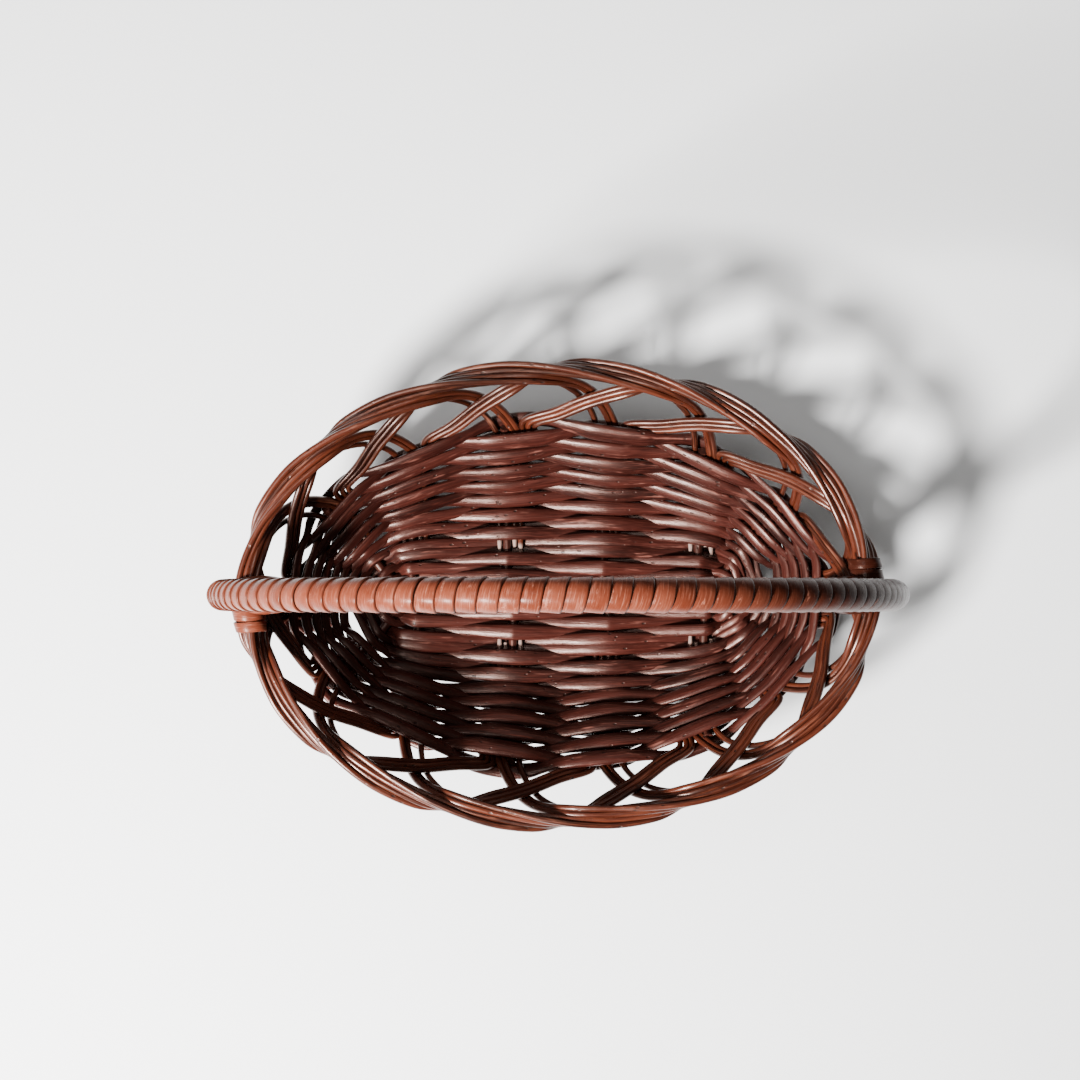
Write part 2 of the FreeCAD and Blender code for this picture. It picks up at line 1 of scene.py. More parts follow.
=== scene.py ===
import math
import random
import bpy
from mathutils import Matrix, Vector


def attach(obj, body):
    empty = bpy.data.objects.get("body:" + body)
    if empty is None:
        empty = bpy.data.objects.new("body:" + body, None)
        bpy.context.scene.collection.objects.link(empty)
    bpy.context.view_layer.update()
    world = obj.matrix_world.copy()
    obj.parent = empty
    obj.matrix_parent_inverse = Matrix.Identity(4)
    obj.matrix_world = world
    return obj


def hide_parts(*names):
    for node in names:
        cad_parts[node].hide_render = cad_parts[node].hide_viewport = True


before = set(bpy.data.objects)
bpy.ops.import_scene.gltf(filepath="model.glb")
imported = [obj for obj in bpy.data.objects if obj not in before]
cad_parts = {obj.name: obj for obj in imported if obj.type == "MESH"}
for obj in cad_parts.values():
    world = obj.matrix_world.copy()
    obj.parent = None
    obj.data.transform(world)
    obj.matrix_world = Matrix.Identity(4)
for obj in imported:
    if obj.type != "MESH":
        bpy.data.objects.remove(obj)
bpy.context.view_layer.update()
bodyName = "root"

# the basket's own sizes, in metres; every rod's route is worked out from them
basket = {
    "posts": 14, "rimLength": 0.300, "rimWidth": 0.220, "rimHeight": 0.078,
    "wallLength": 0.260, "wallWidth": 0.166, "wallHeight": 0.050,
    "endLean": 0.022, "sideLean": 0.032, "bendRadius": 0.018, "weaveHeight": 0.012,
    "spineLength": 0.152, "shortRodSpacing": 0.048,
    "baseRod": 0.0045, "sideStake": 0.0027, "rodGap": 0.00015,
    "ropePitch": 0.0037,
}
up = Vector((0, 0, 1))
postCount = basket["posts"]
halfRound = postCount // 2
fanPosts = (13, 0, 1, 6, 7, 8)      # ends of the three long base rods
tipPosts = (0, 7)                   # the handle's legs stand here
stakeStep = basket["sideStake"] + basket["rodGap"]
wallRise = basket["wallHeight"] - basket["weaveHeight"]


# ovals, walked by share of their length from the +X tip
ovalTables = {}


def ovalAngle(oval, share):
    steps = 720
    if oval not in ovalTables:
        lengths = [0.0]
        for step in range(steps):
            angle = (step + 0.5) * 2 * math.pi / steps
            lengths.append(lengths[-1] + math.hypot(oval[0] * math.sin(angle),
                                                    oval[1] * math.cos(angle)))
        ovalTables[oval] = [length / lengths[-1] for length in lengths]
    table = ovalTables[oval]
    turns, share = divmod(share, 1.0)
    low, high = 0, steps
    while high - low > 1:
        middle = (low + high) // 2
        low, high = (middle, high) if table[middle] <= share else (low, middle)
    part = (share - table[low]) / (table[high] - table[low])
    return 2 * math.pi * (turns + (low + part) / steps)


def ovalPoint(oval, share):
    angle = ovalAngle(oval, share)
    return Vector((oval[0] * math.cos(angle), oval[1] * math.sin(angle), 0))


def ovalNormal(oval, share):
    angle = ovalAngle(oval, share)
    return Vector((math.cos(angle) / oval[0], math.sin(angle) / oval[1], 0)).normalized()


wallOval = (basket["wallLength"] / 2, basket["wallWidth"] / 2)
strandRadius = basket["sideStake"] / math.sqrt(3) + basket["sideStake"] / 2
ropeRadius = basket["ropePitch"] + strandRadius
rimOval = (basket["rimLength"] / 2 - ropeRadius, basket["rimWidth"] / 2 - ropeRadius)


class Post:
    # one stake group: out over the base, round the bend and up the wall
    def __init__(self, number):
        self.number = number % postCount
        share = self.number / postCount
        self.top = ovalPoint(wallOval, share)
        self.wallSide = up.cross(ovalNormal(wallOval, share))
        if self.number in fanPosts:
            self.start = Vector((math.copysign(basket["spineLength"] / 2, self.top.x), 0, 0))
        else:
            rank = min(self.number, postCount - self.number)
            self.start = Vector(((halfRound / 2 - rank) * basket["shortRodSpacing"], 0, 0))
        reach = self.top - self.start
        self.lengthOut = reach.length
        self.heading = reach.normalized()
        leanShare = self.heading.y ** 2
        self.lean = basket["endLean"] * (1 - leanShare) + basket["sideLean"] * leanShare
        self.slope = math.atan2(wallRise, self.lean)
        tangent = basket["bendRadius"] * math.tan(self.slope / 2)
        self.flat = self.lengthOut - self.lean - tangent
        self.bend = basket["bendRadius"] * self.slope
        self.total = self.flat + self.bend + math.hypot(self.lean, wallRise) - tangent

    def frame(self, travel):
        if travel <= self.flat:
            out, rise, angle = travel, 0.0, 0.0
        elif travel <= self.flat + self.bend:
            angle = (travel - self.flat) / basket["bendRadius"]
            out = self.flat + basket["bendRadius"] * math.sin(angle)
            rise = basket["bendRadius"] * (1 - math.cos(angle))
        else:
            angle = self.slope
            out = self.lengthOut + (travel - self.total) * math.cos(angle)
            rise = wallRise + (travel - self.total) * math.sin(angle)
        point = self.start + self.heading * out + up * (basket["weaveHeight"] + rise)
        ahead = self.heading * math.cos(angle) + up * math.sin(angle)
        turned = min(max((travel - self.flat) / (self.total - self.flat), 0), 1)
        sideways = (up.cross(self.heading) * (1 - turned) + self.wallSide * turned).normalized()
        inward = ahead.cross(sideways).normalized()
        if inward.dot(up - self.heading) < 0:
            inward = -inward
        return point, ahead, sideways, inward

    def at(self, travel, sideways=0.0, inward=0.0):
        point, _, across, normal = self.frame(travel)
        return point + across * sideways + normal * inward

    def progress(self, travel):
        # mean of the travel and its level reach: rows stand wider apart up the wall
        return (travel + (self.frame(travel)[0] - self.start).dot(self.heading)) / 2


posts = [Post(number) for number in range(postCount)]


def rodPlaces(number):
    # sideways places of the base rod and of the three side stakes in a group
    beside = basket["baseRod"] / 2 + basket["rodGap"] + basket["sideStake"] / 2
    if number in tipPosts:
        tail = handle["tailDiameter"] / 2 + basket["rodGap"]
        first = tail + basket["sideStake"] / 2
        return -(tail + basket["baseRod"] / 2), [first, first + stakeStep, first + 2 * stakeStep]
    middle = stakeStep / 2
    return middle, [middle - beside - stakeStep, middle - beside, middle + beside]


def groupSpan(number, travel):
    # the group's clockwise and other side, measured sideways
    number %= postCount
    basePlace, places = rodPlaces(number)
    if travel < stakes["entry"][number in fanPosts]:
        if number in fanPosts and travel < weaving["firstRow"] + 0.007:
            basePlace = 0.0
        return basePlace - basket["baseRod"] / 2, basePlace + basket["baseRod"] / 2
    low = min(places[0] - basket["sideStake"] / 2, basePlace - basket["baseRod"] / 2)
    high = max(places[2] + basket["sideStake"] / 2, basePlace + basket["baseRod"] / 2)
    if travel > posts[number].total - stakes["tuckDepth"]:
        low -= 3 * stakeStep
    return low, high


# node trees: sockets are wrapped, so that sums on them add their own nodes

class Wire:
    def __init__(self, graph, socket):
        self.graph, self.socket = graph, socket

    def sum(self, operation, first, second):
        kind = "ShaderNodeVectorMath" if self.socket.type == "VECTOR" else "ShaderNodeMath"
        return self.graph.add(kind, {"operation": operation}, {0: first, 1: second})

    def __add__(self, other):
        return self.sum("ADD", self, other)

    def __radd__(self, other):
        return self.sum("ADD", other, self)

    def __sub__(self, other):
        return self.sum("SUBTRACT", self, other)

    def __rsub__(self, other):
        return self.sum("SUBTRACT", other, self)

    def __mul__(self, other):
        return self.sum("MULTIPLY", self, other)

    def __rmul__(self, other):
        return self.sum("MULTIPLY", other, self)

    def __truediv__(self, other):
        return self.sum("DIVIDE", self, other)


class Graph:
    def __init__(self, tree):
        self.tree = tree

    def add(self, kind, settings=None, sockets=None, output=None):
        node = self.tree.nodes.new(kind)
        for name, value in (settings or {}).items():
            setattr(node, name, value)
        for name, value in (sockets or {}).items():
            self.feed(node.inputs[name], value)
        enabled = [socket for socket in node.outputs if socket.enabled]
        if not enabled:
            return node
        return Wire(self, node.outputs[output] if output else enabled[0])

    def feed(self, socket, value):
        if isinstance(value, Wire):
            self.tree.links.new(value.socket, socket)
        elif isinstance(value, (tuple, Vector)) and socket.type == "RGBA" and len(value) == 3:
            socket.default_value = (*value, 1)
        elif isinstance(value, (int, float)) and socket.type == "VECTOR":
            socket.default_value = (value, value, value)
        else:
            socket.default_value = value

    def scaled(self, vector, amount):
        return self.add("ShaderNodeVectorMath", {"operation": "SCALE"},
                        {0: vector, "Scale": amount})

    def noise(self, vector, scale, detail=2.0, roughness=0.5, w=None, output="Fac"):
        sockets = {"Vector": vector, "Scale": scale, "Detail": detail, "Roughness": roughness}
        if w is not None:
            sockets["W"] = w
        return self.add("ShaderNodeTexNoise", {"noise_dimensions": "3D" if w is None else "4D"},
                        sockets, output)

    def stretched(self, vector, scale):
        return self.add("ShaderNodeMapping", {}, {"Vector": vector, "Scale": scale})

    def ramp(self, factor, low, high, start=0.0, end=1.0):
        return self.add("ShaderNodeMapRange", {"interpolation_type": "SMOOTHSTEP"},
                        {"Value": factor, "From Min": low, "From Max": high,
                         "To Min": start, "To Max": end})

    def mix(self, factor, first, second, blend="MIX"):
        node = self.tree.nodes.new("ShaderNodeMix")
        node.data_type, node.blend_type = "RGBA", blend
        self.feed(node.inputs[0], factor)
        self.feed(node.inputs[6], first)
        self.feed(node.inputs[7], second)
        return Wire(self, node.outputs[2])


def newTree(name, sizes):
    # a geometry tree with the named inputs; gives the graph and its input wires
    tree = bpy.data.node_groups.new(name, "GeometryNodeTree")
    face = tree.interface
    face.new_socket("Geometry", in_out="INPUT", socket_type="NodeSocketGeometry")
    face.new_socket("Geometry", in_out="OUTPUT", socket_type="NodeSocketGeometry")
    for label, value in sizes.items():
        kind = "NodeSocketInt" if isinstance(value, int) else "NodeSocketFloat"
        face.new_socket(label, in_out="INPUT", socket_type=kind).default_value = value
    face.new_socket("Material", in_out="INPUT", socket_type="NodeSocketMaterial")
    graph = Graph(tree)
    inputs = tree.nodes.new("NodeGroupInput")
    return graph, {socket.name: Wire(graph, socket) for socket in inputs.outputs if socket.name}


def finishTree(graph, mesh, material):
    mesh = graph.add("GeometryNodeSetShadeSmooth", {}, {"Geometry": mesh})
    mesh = graph.add("GeometryNodeRealizeInstances", {}, {"Geometry": mesh})
    mesh = graph.add("GeometryNodeSetMaterial", {}, {"Geometry": mesh, "Material": material})
    graph.add("NodeGroupOutput", {}, {"Geometry": mesh})
    return graph.tree


def captured(graph, geometry, field, kind):
    # freezes a field on a geometry; gives the geometry and the frozen field
    node = graph.tree.nodes.new("GeometryNodeCaptureAttribute")
    node.capture_items.new(kind, "frozen")
    graph.feed(node.inputs[0], geometry)
    graph.feed(node.inputs[1], field)
    return Wire(graph, node.outputs[0]), Wire(graph, node.outputs[1])


def named(graph, name, kind="FLOAT"):
    return graph.add("GeometryNodeInputNamedAttribute", {"data_type": kind}, {"Name": name})


def stripProfile(graph, thickness, width):
    # flat cane seen end on: X is its thickness and Y is its width
    outline = graph.add("GeometryNodeCurvePrimitiveQuadrilateral", {},
                        {"Width": thickness, "Height": width})
    return graph.add("GeometryNodeFilletCurve", {"mode": "POLY"},
                     {"Curve": outline, "Count": 2, "Radius": thickness * 0.42})


def sweep(graph, curve, profile, scale, along):
    # mesh along the curve, with the place on the straightened rod kept for the material
    profile, outline = captured(graph, profile, graph.add("GeometryNodeInputPosition"), "VECTOR")
    curve, length = captured(graph, curve, along, "FLOAT")
    curve, thick = captured(graph, curve, scale, "FLOAT")
    mesh = graph.add("GeometryNodeCurveToMesh", {},
                     {"Curve": curve, "Profile Curve": profile, "Scale": thick,
                      "Fill Caps": True})
    place = graph.scaled(outline, thick) + graph.add("ShaderNodeCombineXYZ", {}, {"Z": length})
    return graph.add("GeometryNodeStoreNamedAttribute",
                     {"data_type": "FLOAT_VECTOR", "domain": "POINT"},
                     {"Geometry": mesh, "Name": "rodPlace", "Value": place})


def rodTree(name, section):
    # section is round, oval with its flat side against the wall, or a flat strip
    sizes = {"Spacing": 0.0016, "Wander": 0.0003, "Wander Scale": 30.0, "Swelling": 0.08, "Seed": 0}
    sizes.update({"round": {"Sides": 12}, "oval": {"Sides": 12, "Flatness": 0.7},
                  "strip": {"Thickness": 0.001, "Width": 0.006}}[section])
    graph, given = newTree(name, sizes)
    curve = graph.add("GeometryNodeMeshToCurve", {}, {"Mesh": given["Geometry"]})
    curve = graph.add("GeometryNodeCurveSplineType", {"spline_type": "CATMULL_ROM"},
                      {"Curve": curve})
    curve = graph.add("GeometryNodeResampleCurve", {"mode": "LENGTH"},
                      {"Curve": curve, "Length": given["Spacing"]})
    spot = graph.add("GeometryNodeInputPosition")
    own = named(graph, "rodTone") * 40.0 + given["Seed"]
    drift = graph.noise(spot, given["Wander Scale"], 2.0, 0.5, own, "Color")
    drift = graph.add("ShaderNodeVectorMath", {"operation": "SUBTRACT"}, {0: drift, 1: 0.5})
    curve = graph.add("GeometryNodeSetPosition", {},
                      {"Geometry": curve, "Offset": graph.scaled(drift, given["Wander"] * 2.0)})
    swell = (graph.noise(spot, 55.0, 1.0, 0.5, own + 9.0) - 0.5) * given["Swelling"] * 2.0 + 1.0
    if section != "round":
        curve = graph.add("GeometryNodeSetCurveNormal", {"mode": "FREE"},
                          {"Curve": curve, "Normal": named(graph, "rodFace", "FLOAT_VECTOR")})
    if section == "strip":
        profile = stripProfile(graph, given["Thickness"], given["Width"])
    else:
        swell = named(graph, "rodRadius") * swell
        profile = graph.add("GeometryNodeCurvePrimitiveCircle", {},
                            {"Resolution": given["Sides"], "Radius": 1.0})
    if section == "oval":
        shape = graph.add("ShaderNodeCombineXYZ", {}, {"X": given["Flatness"], "Y": 1.0, "Z": 1.0})
        profile = graph.add("GeometryNodeTransform", {}, {"Geometry": profile, "Scale": shape})
    mesh = sweep(graph, curve, profile, swell, named(graph, "rodAlong"))
    return finishTree(graph, mesh, given["Material"])


def windingTree(name):
    # a cane strip wound as a helix round a path that lies in an upright plane
    graph, given = newTree(name, {"Spacing": 0.0002, "Pitch": 0.0076, "Radius": 0.0058,
                                  "Width": 0.008, "Thickness": 0.0011, "Overlap": 0.1,
                                  "Unevenness": 0.1, "Seed": 0})
    curve = graph.add("GeometryNodeMeshToCurve", {}, {"Mesh": given["Geometry"]})
    curve = graph.add("GeometryNodeCurveSplineType", {"spline_type": "CATMULL_ROM"},
                      {"Curve": curve})
    curve = graph.add("GeometryNodeResampleCurve", {"mode": "LENGTH"},
                      {"Curve": curve, "Length": given["Spacing"]})
    length = graph.add("GeometryNodeSplineParameter", {}, {}, "Length")
    spot = graph.add("GeometryNodeInputPosition")
    uneven = graph.noise(spot, 70.0, 2.0, 0.6, given["Seed"] + 3.0) - 0.5
    shifted = length + uneven * given["Unevenness"] * given["Pitch"] * 3.0
    turn = shifted / given["Pitch"] * math.tau
    ahead = graph.add("GeometryNodeInputTangent")
    side = named(graph, "rodFace", "FLOAT_VECTOR")
    out = graph.add("ShaderNodeVectorMath", {"operation": "CROSS_PRODUCT"}, {0: ahead, 1: side})
    cosine = graph.add("ShaderNodeMath", {"operation": "COSINE"}, {0: turn})
    sine = graph.add("ShaderNodeMath", {"operation": "SINE"}, {0: turn})
    radial = graph.scaled(out, cosine) + graph.scaled(side, sine)
    face = radial + graph.scaled(ahead, given["Overlap"])
    curve, radial = captured(graph, curve, radial, "VECTOR")
    curve, face = captured(graph, curve, face, "VECTOR")
    curve = graph.add("GeometryNodeSetPosition", {},
                      {"Geometry": curve, "Offset": graph.scaled(radial, given["Radius"])})
    curve = graph.add("GeometryNodeSetCurveNormal", {"mode": "FREE"},
                      {"Curve": curve, "Normal": face})
    wavy = (graph.noise(graph.add("GeometryNodeInputPosition"), 160.0, 2.0, 0.6,
                        given["Seed"] + 8.0) - 0.5) * given["Unevenness"] * 1.6 + 1.0
    wound = graph.add("GeometryNodeSplineParameter", {}, {}, "Length")
    mesh = sweep(graph, curve, stripProfile(graph, given["Thickness"], given["Width"]), wavy, wound)
    return finishTree(graph, mesh, given["Material"])


def wirePiece(name, rods, tree, sizes, material, slotName, *nodes):
    # rods become chains of edges, the tree gives them their bodies, and the result is kept
    points, edges, radii, tones, lengths, faces = [], [], [], [], [], []
    for rod in rods:
        first, length = len(points), 0.0
        for place, point in enumerate(rod["points"]):
            if place:
                length += (point - rod["points"][place - 1]).length
                edges.append((first + place - 1, first + place))
            points.append(point)
            lengths.append(length)
            radii.append(rod["radii"][place] if "radii" in rod else 1.0)
            tones.append(rod["tone"])
            faces.extend(rod["faces"][place] if "faces" in rod else up)
    mesh = bpy.data.meshes.new(name)
    mesh.from_pydata(points, edges, [])
    for label, values in (("rodRadius", radii), ("rodTone", tones), ("rodAlong", lengths)):
        mesh.attributes.new(label, "FLOAT", "POINT").data.foreach_set("value", values)
    mesh.attributes.new("rodFace", "FLOAT_VECTOR", "POINT").data.foreach_set("vector", faces)
    piece = bpy.data.objects.new(name, mesh)
    bpy.context.scene.collection.objects.link(piece)
    modifier = piece.modifiers.new("body", "NODES")
    modifier.node_group = tree
    identifiers = {item.name: item.identifier for item in tree.interface.items_tree
                   if item.in_out == "INPUT"}
    for label, value in {**sizes, "Material": material}.items():
        modifier[identifiers[label]] = value
    evaluated = piece.evaluated_get(bpy.context.evaluated_depsgraph_get())
    finished = bpy.data.meshes.new_from_object(evaluated)
    piece.modifiers.clear()
    piece.data = finished
    finished.name = name
    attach(piece, bodyName)
    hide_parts(*nodes)
    return piece


# finishes

def newMaterial(name):
    material = bpy.data.materials.new(name)
    material.use_nodes = True
    shader = material.node_tree.nodes["Principled BSDF"]
    return material, Graph(material.node_tree), shader


def willow(name, look):
    material, graph, shader = newMaterial(name)
    place = graph.add("ShaderNodeAttribute", {"attribute_name": "rodPlace"}, {}, "Vector")
    tone = graph.add("ShaderNodeAttribute", {"attribute_name": "rodTone"}, {}, "Fac")
    own = place + graph.add("ShaderNodeCombineXYZ", {}, {"X": tone * 3.1, "Y": tone * 7.7,
                                                         "Z": tone * 5.3})
    grain = graph.noise(graph.stretched(own, (1, 1, 0.045)), 1500.0, 4.0, 0.65)
    cloud = graph.noise(graph.stretched(own, (1, 1, 0.4)), 90.0, 3.0, 0.6)
    peel = graph.noise(graph.stretched(own, (1, 1, 0.12)), 420.0, 3.0, 0.6)
    pits = graph.add("ShaderNodeTexVoronoi", {"feature": "F1"},
                     {"Vector": graph.stretched(own, (1, 1, 0.55)), "Scale": look["pitScale"],
                      "Randomness": 1.0}, "Distance")
    pit = graph.ramp(pits, 0.10, 0.20, 1.0, 0.0) * graph.ramp(cloud, 0.42, 0.55)
    colour = graph.mix(graph.ramp(tone * 0.55 + cloud * 0.6, 0.2, 0.85), look["dark"], look["mid"])
    colour = graph.mix(graph.ramp(grain, 0.45, 0.72) * look["streaks"], colour, look["light"])
    colour = graph.mix(graph.ramp(peel, 0.60, 0.74) * look["bloom"], colour, look["pale"])
    colour = graph.mix(graph.ramp(grain, 0.30, 0.44, 1.0, 0.0) * 0.55, colour, look["crack"])
    colour = graph.mix(pit * 0.85, colour, look["crack"])
    if "cutEnd" in look:
        along = graph.add("ShaderNodeAttribute", {"attribute_name": "rodAlong"}, {}, "Fac")
        cut = graph.ramp(along + (cloud - 0.5) * 0.004, 0.0035, 0.006, 1.0, 0.0)
        colour = graph.mix(cut * 0.8, colour, look["cutEnd"])
    graph.feed(shader.inputs["Base Color"], colour)
    graph.feed(shader.inputs["Roughness"], look["roughness"] + (cloud - 0.5) * 0.22
               + graph.ramp(peel, 0.5, 0.75) * 0.14 + pit * 0.2)
    shader.inputs["Coat Weight"].default_value = look["coat"]
    shader.inputs["Coat Roughness"].default_value = 0.22
    shader.inputs["Specular IOR Level"].default_value = look["gloss"]
    shader.inputs["Specular Tint"].default_value = (1.0, 0.66, 0.55, 1)
    height = grain * 0.5 + peel * 0.6 + cloud * 0.8 - pit * 0.9
    bump = graph.add("ShaderNodeBump", {}, {"Height": height, "Strength": look["bump"],
                                            "Distance": 0.0004})
    graph.feed(shader.inputs["Normal"], bump)
    return material


def cane(name, look):
    material, graph, shader = newMaterial(name)
    place = graph.add("ShaderNodeAttribute", {"attribute_name": "rodPlace"}, {}, "Vector")
    spot = graph.add("ShaderNodeTexCoord", {}, {}, "Object")
    parts = graph.add("ShaderNodeSeparateXYZ", {}, {"Vector": place}, "Y")
    fibres = graph.noise(graph.stretched(place, (1, 1, 0.06)), 1900.0, 4.0, 0.65)
    cloud = graph.noise(spot, 75.0, 4.0, 0.62)
    turns = graph.noise(graph.stretched(place, (0.0, 0.0, 1)), 26.0, 1.0, 0.5)
    scuffs = graph.noise(graph.stretched(place, (1, 1, 0.35)), 380.0, 4.0, 0.7)
    across = graph.add("ShaderNodeMath", {"operation": "ABSOLUTE"}, {0: parts})
    edge = graph.ramp(across, look["width"] * 0.40, look["width"] * 0.5)
    # painted shade: every cane piece darkens towards near-black as its X place grows across the
    # given range, so the handle's +X side and the right lashing look shaded and the left end looks
    # lit
    shade = graph.ramp(graph.add("ShaderNodeSeparateXYZ", {}, {"Vector": spot}, "X")
                       + (cloud - 0.5) * 0.05, look["paintedShadeFrom"], look["paintedShadeTo"])
    colour = graph.mix(graph.ramp(cloud * 0.6 + turns * 0.5, 0.3, 0.78), look["mid"], look["light"])
    colour = graph.mix(graph.ramp(fibres, 0.5, 0.74) * 0.45, colour, look["pale"])
    colour = graph.mix(graph.ramp(fibres, 0.28, 0.44, 1.0, 0.0) * 0.5, colour, look["dark"])
    # the painted shade is mixed in here, up to 0.88
    colour = graph.mix(shade * 0.88, colour, graph.mix(fibres, look["black"], look["dark"]))
    colour = graph.mix(graph.ramp(scuffs, 0.62, 0.72) * 0.5, colour, look["pale"])
    colour = graph.mix(edge * 0.45, colour, look["black"])
    graph.feed(shader.inputs["Base Color"], colour)
    graph.feed(shader.inputs["Roughness"], 0.30 + (cloud - 0.5) * 0.25
               + graph.ramp(scuffs, 0.5, 0.75) * 0.2)
    shader.inputs["Coat Weight"].default_value = 0.03
    shader.inputs["Coat Roughness"].default_value = 0.2
    shader.inputs["IOR"].default_value = 1.3
    shader.inputs["Specular IOR Level"].default_value = 0.2
    shader.inputs["Specular Tint"].default_value = (1.0, 0.68, 0.56, 1)
    height = fibres * 0.5 + scuffs * 0.5 + cloud * 0.7 - edge * 0.8
    bump = graph.add("ShaderNodeBump", {}, {"Height": height, "Strength": 0.55,
                                            "Distance": 0.0004})
    graph.feed(shader.inputs["Normal"], bump)
    return material


def plainBar(name, look):
    # for the solids that keep their own shape: the bow's bare tails and the nails
    material, graph, shader = newMaterial(name)
    spot = graph.add("ShaderNodeTexCoord", {}, {}, "Object")
    grain = graph.noise(graph.stretched(spot, look["stretch"]), look["scale"], 4.0, 0.6)
    cloud = graph.noise(spot, 120.0, 3.0, 0.6)
    colour = graph.mix(graph.ramp(grain * 0.6 + cloud * 0.5, 0.35, 0.75), look["dark"],
                       look["light"])
    graph.feed(shader.inputs["Base Color"], colour)
    graph.feed(shader.inputs["Roughness"], look["roughness"] + (cloud - 0.5) * 0.3)
    shader.inputs["Metallic"].default_value = look["metallic"]
    bump = graph.add("ShaderNodeBump", {}, {"Height": grain + cloud, "Strength": 0.5,
                                            "Distance": 0.0003})
    graph.feed(shader.inputs["Normal"], bump)
    return material


finishes = {
    "weavers": {"dark": (0.0045, 0.0009, 0.0007), "mid": (0.022, 0.0044, 0.0030),
                "light": (0.060, 0.0145, 0.0098), "pale": (0.175, 0.063, 0.046),
                "crack": (0.0016, 0.0004, 0.0003), "streaks": 0.5, "bloom": 0.5,
                "pitScale": 330.0, "roughness": 0.34, "coat": 0.05, "gloss": 0.32, "bump": 0.8},
    "stakes": {"dark": (0.0070, 0.0014, 0.0008), "mid": (0.038, 0.0074, 0.0032),
               "light": (0.092, 0.0220, 0.0088), "pale": (0.21, 0.074, 0.043),
               "crack": (0.0022, 0.0006, 0.0004), "streaks": 0.6, "bloom": 0.35,
               "pitScale": 300.0, "roughness": 0.30, "coat": 0.09, "gloss": 0.38, "bump": 0.6,
               "cutEnd": (0.20, 0.135, 0.11)},
    "baseRods": {"dark": (0.0060, 0.0013, 0.0009), "mid": (0.028, 0.0062, 0.0038),
                 "light": (0.066, 0.0175, 0.0112), "pale": (0.16, 0.060, 0.044),
                 "crack": (0.0018, 0.0005, 0.0004), "streaks": 0.5, "bloom": 0.35,
                 "pitScale": 240.0, "roughness": 0.38, "coat": 0.05, "gloss": 0.32, "bump": 0.6},
    # the cane's painted shade darkens it over this X range, towards +X
    "cane": {"width": 0.0080, "paintedShadeFrom": 0.010, "paintedShadeTo": 0.125,
             "dark": (0.0120, 0.0026, 0.0014), "mid": (0.056, 0.0102, 0.0042),
             "light": (0.118, 0.0285, 0.0145), "pale": (0.32, 0.125, 0.082),
             "black": (0.0022, 0.0007, 0.0006)},
    "bow": {"stretch": (1, 1, 0.08), "scale": 900.0, "dark": (0.06, 0.018, 0.011),
            "light": (0.20, 0.08, 0.05), "roughness": 0.5, "metallic": 0.0},
    "nails": {"stretch": (1, 1, 1), "scale": 700.0, "dark": (0.03, 0.024, 0.022),
              "light": (0.16, 0.12, 0.10), "roughness": 0.45, "metallic": 0.9},
}
weaverFinish = willow("weaverWillow", finishes["weavers"])
stakeFinish = willow("stakeWillow", finishes["stakes"])
baseFinish = willow("baseWillow", finishes["baseRods"])
caneFinish = cane("handleCane", finishes["cane"])
bowFinish = plainBar("bowWood", finishes["bow"])
nailFinish = plainBar("nailSteel", finishes["nails"])
print("finishes ready")

handle = {
    "reach": 0.146, "springHeight": 0.110, "coreDiameter": 0.0104, "tailDiameter": 0.0064,
    "tailLength": 0.024, "rimClearance": 0.0014, "startOverWall": 0.010,
    "wrapThickness": 0.0013, "wrapClearance": 0.00005, "swellDrop": 0.006, "swellEnd": 0.95,
}
roundRods = rodTree("roundRods", "round")
ovalRods = rodTree("ovalRods", "oval")
flatStrips = rodTree("flatStrips", "strip")
winding = windingTree("caneWinding")

# weaver rows: each row is a few tapered rods that start and stop behind a group
weaving = {
    "rows": sum(name.startswith("weaver_row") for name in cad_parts),
    "firstRow": 0.0093, "bundledRows": 4, "diameter": 0.0031,
    "thickness": 0.86,      # rod's radius as a share of the rows' spacing
    "bite": 0.84,           # how far out of the stakes a rod keeps; 1 only touches them
    "rodsPerRow": 2, "pinch": 0.80, "unevenness": 0.00045, "seed": 11,
    "body": {"Spacing": 0.0014, "Wander": 0.00045, "Wander Scale": 26.0, "Swelling": 0.09,
             "Sides": 14, "Flatness": 0.56, "Seed": 3},
}
stakes = {
    "entry": (0.020, 0.033), "stagger": (0.0, 0.004, 0.002), "tuckDepth": 0.008,
    "leanFrom": 0.005,
    "radius": 0.00152, "seed": 5,
    "body": {"Spacing": 0.0014, "Wander": 0.00035, "Wander Scale": 34.0, "Swelling": 0.08,
             "Sides": 12, "Seed": 17},
}


def weaverSide(number, row):
    number %= postCount
    if row < weaving["bundledRows"]:
        counted = [place for place in range(postCount) if place not in (13, 1, 6, 8)]
        standIn = {13: 0, 1: 0, 6: 7, 8: 7}.get(number, number)
        return 1 if (counted.index(standIn) + row) % 2 else -1
    return 1 if (number + row) % 2 else -1


def rowTravel(post, row):
    low, high = weaving["firstRow"] - 0.005, post.total + 0.005
    near = post.progress(weaving["firstRow"])
    far = post.progress(post.total - weaving["diameter"] / 2)
    wanted = near + (far - near) * row / (weaving["rows"] - 1)
    for _ in range(16):
        middle = (low + high) / 2
        low, high = (middle, high) if post.progress(middle) < wanted else (low, middle)
    return low


